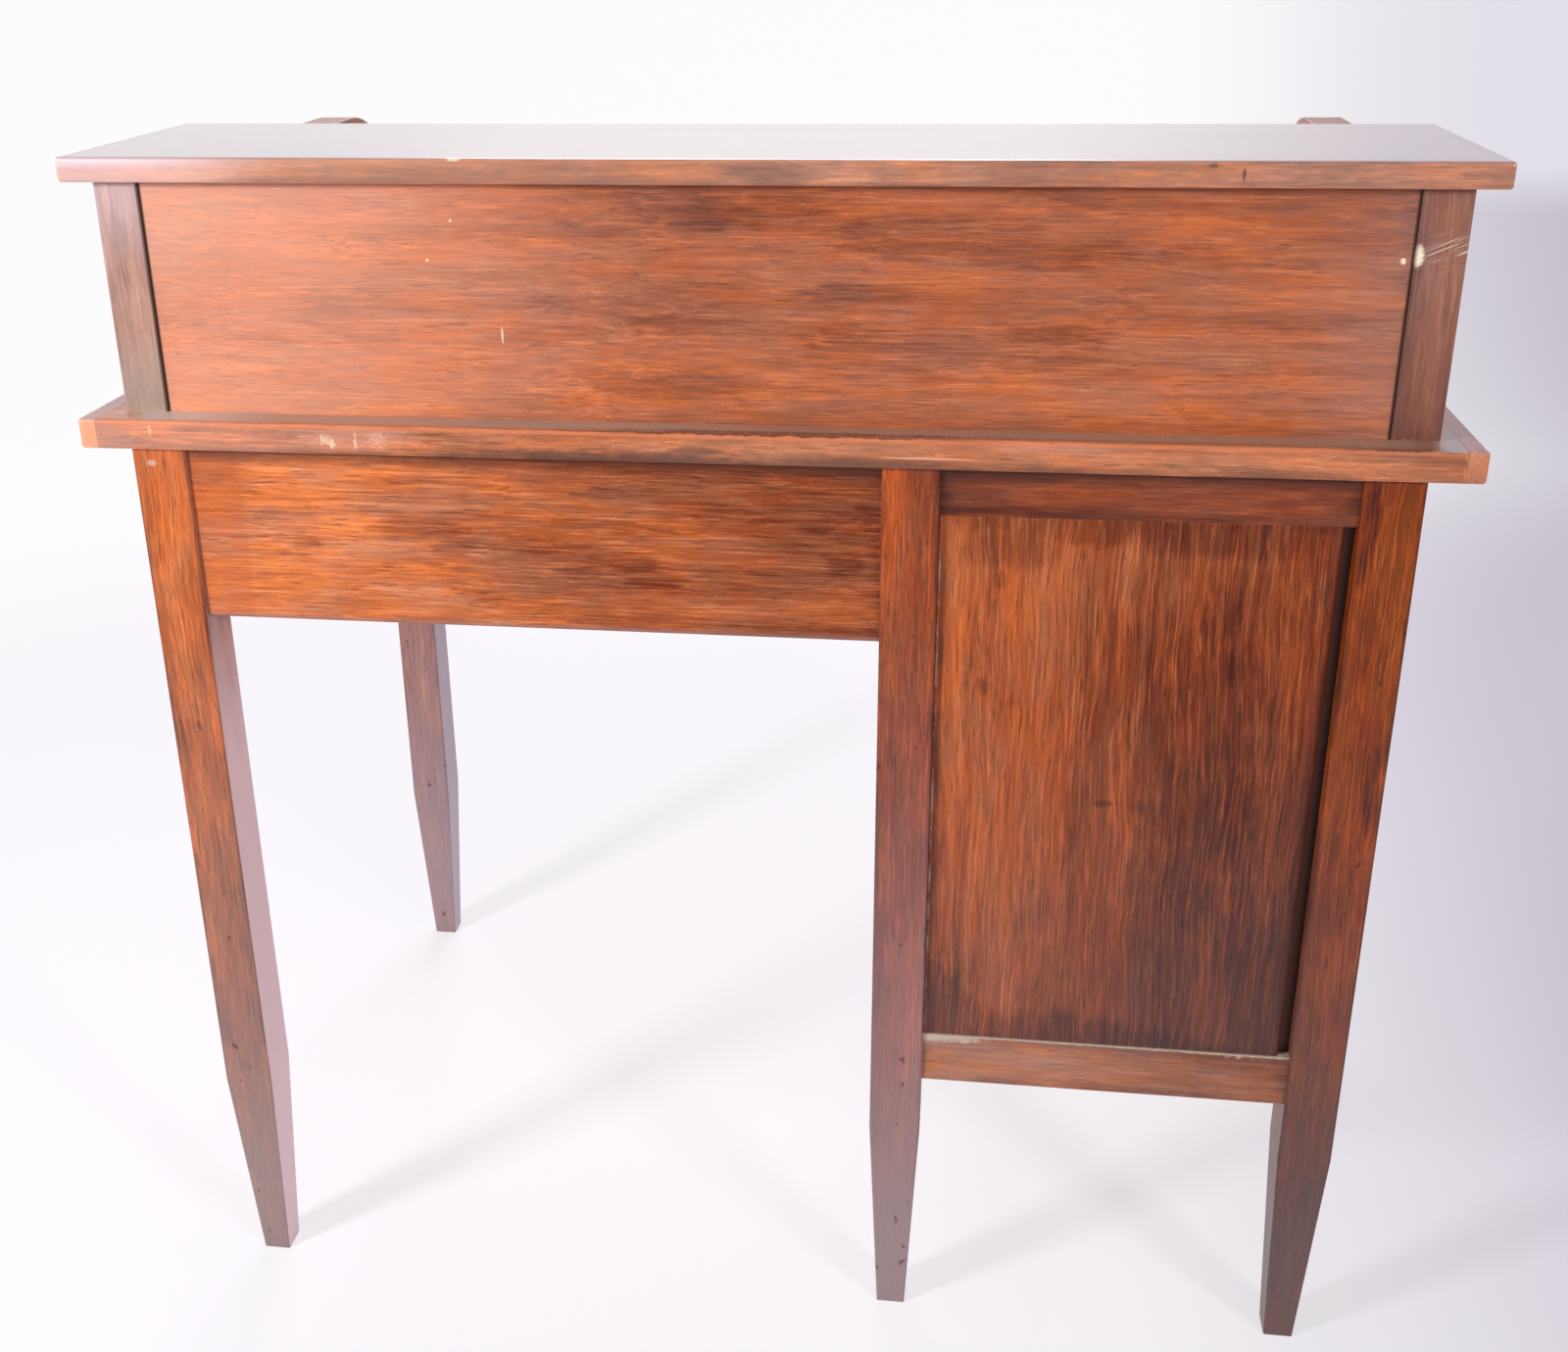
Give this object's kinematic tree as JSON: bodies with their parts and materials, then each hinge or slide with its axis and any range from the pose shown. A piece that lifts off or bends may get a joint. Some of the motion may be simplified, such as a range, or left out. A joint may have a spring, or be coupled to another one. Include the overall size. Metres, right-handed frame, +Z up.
{
  "type": "bonheur du jour",
  "caption": "Small wooden writing desk on tapered legs, with a kneehole beside a pedestal of drawers, and a raised gallery of pigeonholes closed by a sliding slatted roll",
  "frame": {"origin": "on the floor, under the middle of the writing top", "axes": "+Z up; the person who writes sits at -Y and faces +Y; +X is that person's right, so the pedestal of drawers is at -X and the plain back of the desk is at +Y"},
  "size_m": [0.968, 0.598, 0.941],
  "materials": {
    "top_wood": "worn polish with a soft gloss",
    "lipping_wood": "worn polish",
    "end_wood": "satin french polish",
    "gallery_panel_wood": "satin french polish",
    "leg_wood": "satin french polish",
    "apron_wood": "satin french polish",
    "rail_wood": "satin french polish",
    "panel_wood": "satin french polish",
    "front_wood": "satin french polish",
    "lining_wood": "bare planed wood",
    "nest_wood": "satin french polish",
    "slat_wood": "satin french polish",
    "canvas": "plain woven backing cloth",
    "knob_brass": "aged, softly polished"
  },
  "bodies": {
    "root": {"writing_top": "top_wood", "top_lippings": "lipping_wood", "leg_rear_left": "leg_wood", "leg_rear_centre": "leg_wood", "leg_rear_right": "leg_wood", "leg_front_left": "leg_wood", "leg_front_centre": "leg_wood", "leg_front_right": "leg_wood", "rear_apron": "apron_wood", "right_side_apron": "apron_wood", "frieze_front_rails": "rail_wood", "pedestal_back_top_rail": "rail_wood", "pedestal_back_bottom_rail": "rail_wood", "pedestal_back_panel": "panel_wood", "pedestal_outer_rails": "rail_wood", "pedestal_outer_panel": "panel_wood", "pedestal_inner_rails": "rail_wood", "pedestal_inner_panel": "panel_wood", "pedestal_front_rails": "rail_wood", "pedestal_dust_board": "lining_wood", "frieze_drawer_runners": "lining_wood", "pedestal_drawer_runners": "lining_wood", "gallery_end_left": "end_wood", "gallery_end_right": "end_wood", "gallery_back_panel": "gallery_panel_wood", "gallery_top": "top_wood", "nest_top": "nest_wood", "nest_bottom": "nest_wood", "nest_plinth": "nest_wood", "nest_back": "nest_wood", "nest_partitions": "nest_wood", "nest_shelves": "nest_wood", "roll_tail_slats": "slat_wood", "roll_tail_canvas": "canvas"},
    "frieze_drawer": {"frieze_drawer_front": "front_wood", "frieze_drawer_carcase": "lining_wood", "frieze_drawer_bottom": "lining_wood", "frieze_drawer_knob": "knob_brass"},
    "upper_drawer": {"upper_drawer_front": "front_wood", "upper_drawer_carcase": "lining_wood", "upper_drawer_bottom": "lining_wood", "upper_drawer_knob": "knob_brass"},
    "middle_drawer": {"middle_drawer_front": "front_wood", "middle_drawer_carcase": "lining_wood", "middle_drawer_bottom": "lining_wood", "middle_drawer_knob": "knob_brass"},
    "lower_drawer": {"lower_drawer_front": "front_wood", "lower_drawer_carcase": "lining_wood", "lower_drawer_bottom": "lining_wood", "lower_drawer_knob": "knob_brass"},
    "nest_left_drawer": {"nest_left_drawer_front": "front_wood", "nest_left_drawer_tray": "lining_wood", "nest_left_drawer_knob": "knob_brass"},
    "nest_right_drawer": {"nest_right_drawer_front": "front_wood", "nest_right_drawer_tray": "lining_wood", "nest_right_drawer_knob": "knob_brass"},
    "roll": {"roll_leading_rail": "slat_wood", "roll_slats": "slat_wood", "roll_canvas": "canvas", "roll_knobs": "knob_brass"}
  },
  "joints": [
    {"name": "frieze_drawer_slide", "type": "slide", "parent": "root", "child": "frieze_drawer", "axis": [0, -1, 0], "range_m": [0, 0.38]},
    {"name": "upper_drawer_slide", "type": "slide", "parent": "root", "child": "upper_drawer", "axis": [0, -1, 0], "range_m": [0, 0.38]},
    {"name": "middle_drawer_slide", "type": "slide", "parent": "root", "child": "middle_drawer", "axis": [0, -1, 0], "range_m": [0, 0.38]},
    {"name": "lower_drawer_slide", "type": "slide", "parent": "root", "child": "lower_drawer", "axis": [0, -1, 0], "range_m": [0, 0.38]},
    {"name": "nest_left_drawer_slide", "type": "slide", "parent": "root", "child": "nest_left_drawer", "axis": [0, -1, 0], "range_m": [0, 0.1]},
    {"name": "nest_right_drawer_slide", "type": "slide", "parent": "root", "child": "nest_right_drawer", "axis": [0, -1, 0], "range_m": [0, 0.1]},
    {"name": "roll_slide", "type": "slide", "parent": "root", "child": "roll", "axis": [0, -1, 0], "range_m": [0, 0.14]}
  ]
}
